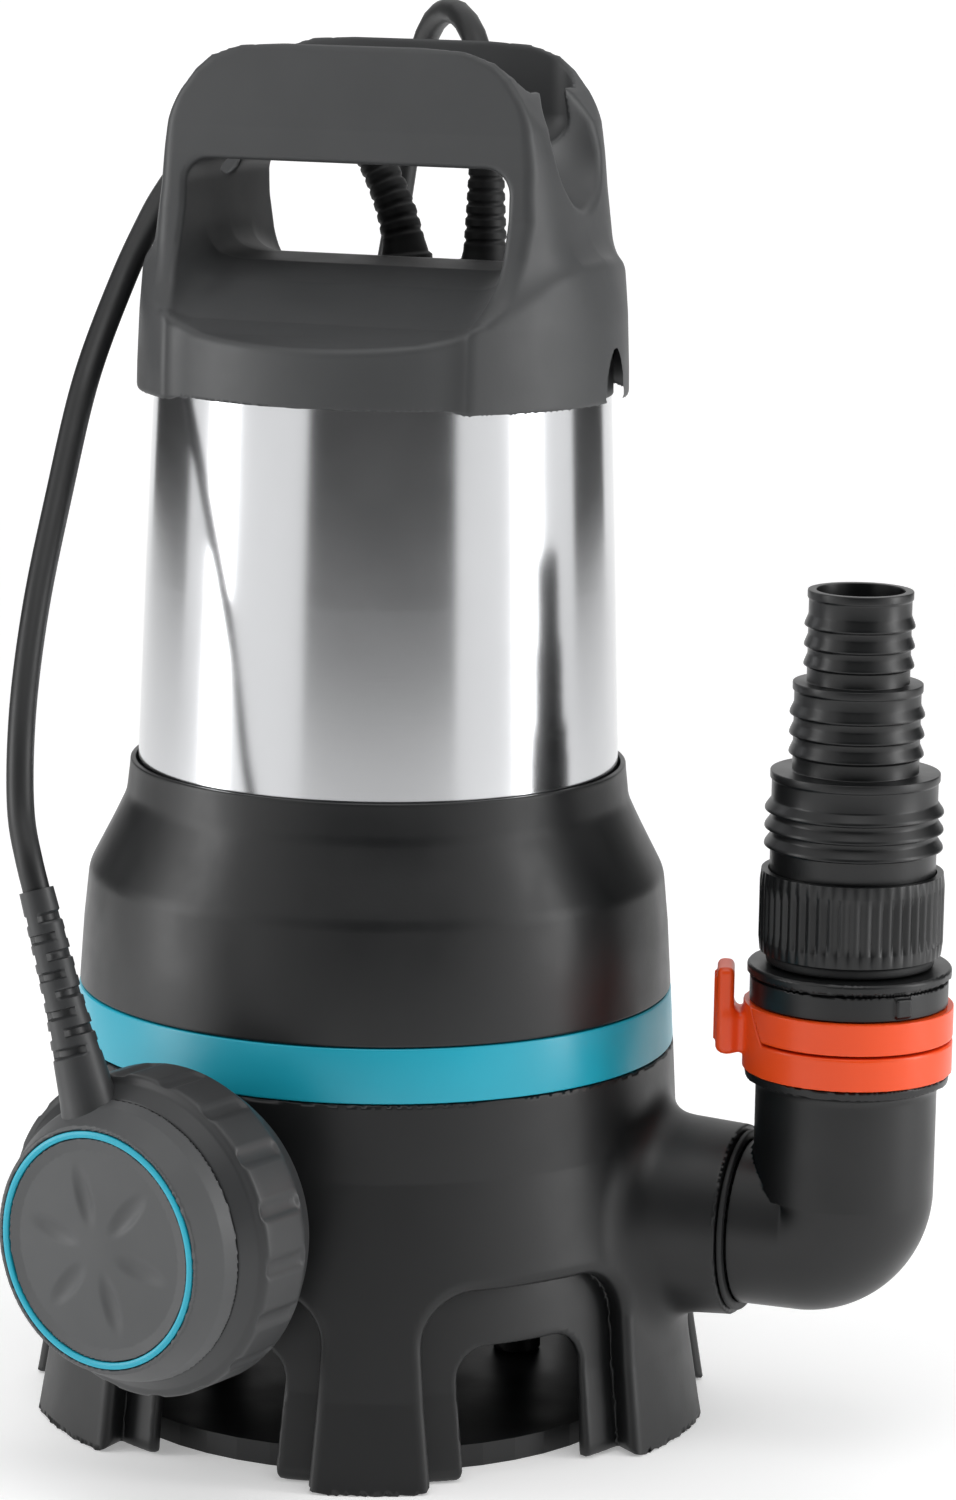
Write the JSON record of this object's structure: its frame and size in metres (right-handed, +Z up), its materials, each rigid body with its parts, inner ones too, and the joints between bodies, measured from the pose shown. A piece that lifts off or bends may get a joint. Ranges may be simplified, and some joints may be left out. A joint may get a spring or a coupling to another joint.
{
  "type": "submersible sump pump",
  "caption": "Dirty-water submersible pump with handle cap, polished motor tube, flared intake casing, float switch, swivelling outlet elbow and stepped hose nozzle.",
  "frame": {"origin": "centre of the foot on the ground, on the motor's axis", "axes": "+Z up along the motor's axis, +X along the outlet stub, +Y through the handle's window away from the float"},
  "size_m": [0.3234, 0.4135, 0.3996],
  "materials": {
    "casing_plastic": "fine-grained charcoal moulding",
    "housing_plastic": "fine-grained charcoal moulding",
    "cap_plastic": "satin dark grey moulding",
    "accent_plastic": "satin teal moulding",
    "orange_plastic": "satin orange moulding",
    "polished_steel": "polished stainless steel",
    "plain_steel": "plain machined steel",
    "cast_aluminium": "plain cast aluminium",
    "laminated_steel": "stacked steel laminations",
    "copper": "varnished copper winding",
    "rubber": "black sealing rubber",
    "cable_rubber": "black rubber cable sheath",
    "ceramic": "off-white seal ceramic",
    "float_plastic": "satin grey moulding",
    "white_plastic": "white insulating plastic"
  },
  "bodies": {
    "pump": {"foot_plate": "casing_plastic", "pump_casing": "casing_plastic", "volute_drum": "casing_plastic", "accent_band": "accent_plastic", "shoulder_housing": "housing_plastic", "motor_tube": "polished_steel", "handle_cap": "cap_plastic", "foot_screw_1": "plain_steel", "foot_screw_2": "plain_steel", "foot_screw_3": "plain_steel", "stator_core": "laminated_steel", "winding_upper": "copper", "winding_lower": "copper", "bearing_upper": "plain_steel", "bearing_lower": "plain_steel", "bearing_shield_upper": "cast_aluminium", "bearing_shield_lower": "cast_aluminium", "oil_chamber_cover": "housing_plastic", "seal_fixed": "ceramic", "tie_bolt_1": "plain_steel", "tie_bolt_2": "plain_steel", "tie_bolt_3": "plain_steel", "cover_screw_1": "plain_steel", "cover_screw_2": "plain_steel", "cover_screw_3": "plain_steel", "capacitor": "white_plastic", "terminal_block": "white_plastic", "outlet_ring": "rubber", "power_sleeve": "rubber", "float_sleeve": "rubber", "power_cable": "cable_rubber", "float_cable_fixed": "cable_rubber", "power_coil": "cable_rubber", "coil_tie": "rubber", "power_tail": "cable_rubber", "plug_body": "rubber", "plug_pin_1": "plain_steel", "plug_pin_2": "plain_steel"},
    "rotor": {"shaft": "plain_steel", "rotor_core": "laminated_steel", "seal_turning": "rubber", "impeller": "housing_plastic", "impeller_nut": "plain_steel"},
    "outlet": {"outlet_elbow": "casing_plastic", "coupling_collar": "casing_plastic", "hose_gasket": "rubber", "hose_nozzle": "casing_plastic"},
    "lock": {"lock_ring": "orange_plastic", "lock_sleeve": "orange_plastic"},
    "nut": {"grip_nut": "casing_plastic"},
    "float": {"float_front_shell": "float_plastic", "float_rear_shell": "float_plastic", "float_ring": "accent_plastic", "float_relief": "rubber", "float_microswitch": "white_plastic", "float_cable": "cable_rubber"},
    "ball": {"float_ball": "plain_steel"}
  },
  "joints": [
    {"name": "motor_spin", "type": "hinge", "parent": "pump", "child": "rotor", "pos_m": [0, 0, 0.2], "axis": [0, 0, 1], "continuous": true},
    {"name": "elbow_swivel", "type": "hinge", "parent": "pump", "child": "outlet", "pos_m": [0.11, 0, 0.063], "axis": [1, 0, 0], "range_deg": [-90, 90]},
    {"name": "lock_turn", "type": "hinge", "parent": "outlet", "child": "lock", "pos_m": [0.141, 0, 0.12], "axis": [0, 0, 1], "range_deg": [0, 40]},
    {"name": "nut_turn", "type": "hinge", "parent": "outlet", "child": "nut", "pos_m": [0.141, 0, 0.155], "axis": [0, 0, 1], "continuous": true},
    {"name": "float_swing", "type": "hinge", "parent": "pump", "child": "float", "pos_m": [-0.0705, 0.0056, 0.3427], "axis": [-0.3627, 0.9319, 0], "range_deg": [0, 80]},
    {"name": "ball_run", "type": "slide", "parent": "float", "child": "ball", "axis": [-0.3017, 0.0809, 0.95], "range_m": [0, 0.012]}
  ]
}
